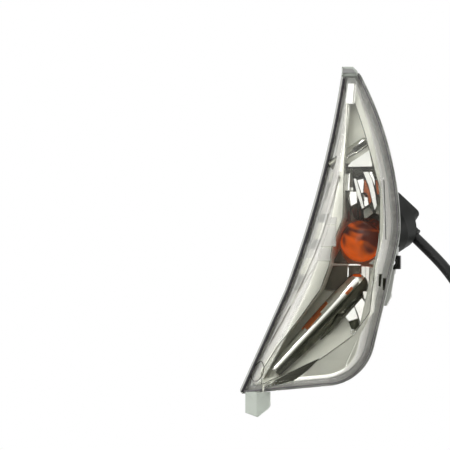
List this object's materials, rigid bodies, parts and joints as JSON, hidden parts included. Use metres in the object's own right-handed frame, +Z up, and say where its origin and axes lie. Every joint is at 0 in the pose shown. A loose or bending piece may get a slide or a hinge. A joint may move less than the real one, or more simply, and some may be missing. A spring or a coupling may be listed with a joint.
{
  "type": "front turn signal lamp",
  "caption": "Crescent front turn signal lamp with a clear creased lens, a silvered reflector, an amber bulb, rear screw bosses and a short lead with an open connector.",
  "frame": {"origin": "halfway between the two rear screw bosses, on the plane of their seats", "axes": "+Z up along the lamp, +Y out of the back along the bosses, +X to the right seen from the front; the lens faces -Y"},
  "size_m": [0.1517, 0.076, 0.248],
  "materials": {
    "clear_lens": "clear moulded plastic, polished",
    "housing_plastic": "light grey moulded plastic, fine grain",
    "silvered_plastic": "vacuum metallised plastic",
    "sealant": "dark sealant",
    "foam_strip": "dark foam strip",
    "black_spring_steel": "black phosphated spring steel",
    "amber_glass": "amber glass",
    "bulb_brass": "plated brass",
    "solder": "dull solder",
    "filament_steel": "drawn wire",
    "holder_plastic": "dark heat resistant plastic",
    "shell_steel": "plated steel",
    "plunger_brass": "brass",
    "spring_steel": "spring steel",
    "seal_rubber": "black rubber",
    "boot_rubber": "black rubber",
    "sleeve_pvc": "black flexible sleeve",
    "connector_plastic": "dark moulded plastic",
    "retainer_plastic": "dark grey plastic",
    "terminal_tin": "tinned brass",
    "vent_rubber": "black rubber",
    "screw_steel": "zinc plated steel"
  },
  "bodies": {
    "root": {"lens": "clear_lens", "housing": "housing_plastic", "reflector": "silvered_plastic", "sealant_bead": "sealant", "seal_strip": "foam_strip", "clip_nut": "black_spring_steel", "bulb_glass": "amber_glass", "bulb_cap": "bulb_brass", "bulb_contact": "solder", "bulb_filament": "filament_steel", "bulb_holder": "holder_plastic", "bayonet_shell": "shell_steel", "contact_plunger": "plunger_brass", "contact_spring": "spring_steel", "holder_seal": "seal_rubber", "boot": "boot_rubber", "lead_sleeve": "sleeve_pvc", "connector_housing": "connector_plastic", "connector_rear_cap": "connector_plastic", "connector_retainer": "retainer_plastic", "terminals": "terminal_tin", "vent_cap": "vent_rubber", "reflector_screws": "screw_steel"}
  },
  "joints": []
}
